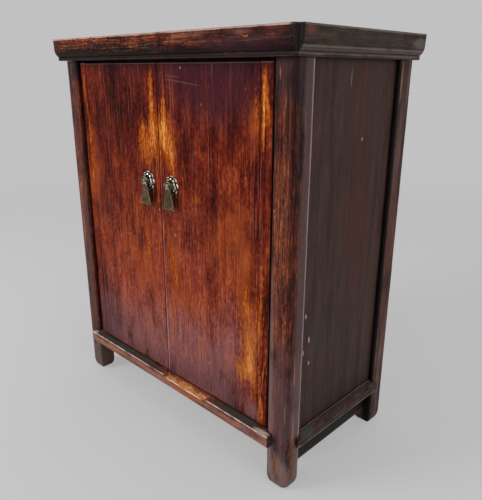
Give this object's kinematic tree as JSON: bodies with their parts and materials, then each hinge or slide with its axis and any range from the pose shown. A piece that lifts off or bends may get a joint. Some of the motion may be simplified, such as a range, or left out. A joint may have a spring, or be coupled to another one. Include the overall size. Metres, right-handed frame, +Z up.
{
  "type": "kang cabinet",
  "caption": "Low wooden cabinet with an overhanging framed cap, rounded posts, two pin-hung doors with hanging-tag pulls, a floor and a shelf.",
  "frame": {"origin": "on the floor, under the middle of the cap", "axes": "+Z up, +X to the right seen from the front, the doors face -Y"},
  "size_m": [0.708, 0.378, 0.82],
  "materials": {
    "lacquered_door": "red-brown lacquer, worn through to golden wood",
    "lacquered_frame": "dark red-brown lacquer, rubbed at the arrises",
    "lacquered_side": "dark grey-brown lacquer",
    "bare_wood": "unfinished aged softwood",
    "pull_metal": "tarnished white brass, cast and chased"
  },
  "bodies": {
    "case": {"front_left_post": "lacquered_frame", "front_right_post": "lacquered_frame", "back_left_post": "lacquered_frame", "back_right_post": "lacquered_frame", "cap_front_rail": "lacquered_frame", "cap_back_rail": "lacquered_frame", "cap_left_rail": "lacquered_frame", "cap_right_rail": "lacquered_frame", "cap_panel": "lacquered_frame", "cap_left_batten": "bare_wood", "cap_right_batten": "bare_wood", "front_sill_rail": "lacquered_frame", "back_bottom_rail": "bare_wood", "back_middle_rail": "bare_wood", "back_top_rail": "bare_wood", "left_side_rail": "lacquered_side", "right_side_rail": "lacquered_side", "left_side_apron": "lacquered_side", "right_side_apron": "lacquered_side", "left_side_panel": "lacquered_side", "right_side_panel": "lacquered_side", "lower_back_panel": "bare_wood", "upper_back_panel": "bare_wood", "floor_board": "bare_wood", "floor_batten": "bare_wood", "shelf_board": "bare_wood", "left_shelf_bearer": "bare_wood", "right_shelf_bearer": "bare_wood", "door_stop_strip": "bare_wood"},
    "left_door": {"left_door_board": "lacquered_door", "left_door_stile": "lacquered_door", "left_door_batten_bottom": "bare_wood", "left_door_batten_middle": "bare_wood", "left_door_batten_top": "bare_wood", "left_pull_plate": "pull_metal", "left_pull_boss": "pull_metal"},
    "left_tag": {"left_pull_tag": "pull_metal"},
    "right_door": {"right_door_board": "lacquered_door", "right_door_stile": "lacquered_door", "right_door_batten_bottom": "bare_wood", "right_door_batten_middle": "bare_wood", "right_door_batten_top": "bare_wood", "right_pull_plate": "pull_metal", "right_pull_boss": "pull_metal"},
    "right_tag": {"right_pull_tag": "pull_metal"}
  },
  "joints": [
    {"name": "left_door_hinge", "type": "hinge", "parent": "case", "child": "left_door", "pos_m": [-0.2785, -0.152, 0.441], "axis": [0, 0, -1], "range_deg": [0, 94]},
    {"name": "right_door_hinge", "type": "hinge", "parent": "case", "child": "right_door", "pos_m": [0.2785, -0.152, 0.441], "axis": [0, 0, 1], "range_deg": [0, 94]},
    {"name": "left_tag_swing", "type": "hinge", "parent": "left_door", "child": "left_tag", "pos_m": [-0.047, -0.174, 0.5385], "axis": [-1, 0, 0], "range_deg": [-12, 85]},
    {"name": "right_tag_swing", "type": "hinge", "parent": "right_door", "child": "right_tag", "pos_m": [0.0282, -0.174, 0.5385], "axis": [-1, 0, 0], "range_deg": [-12, 85]}
  ]
}
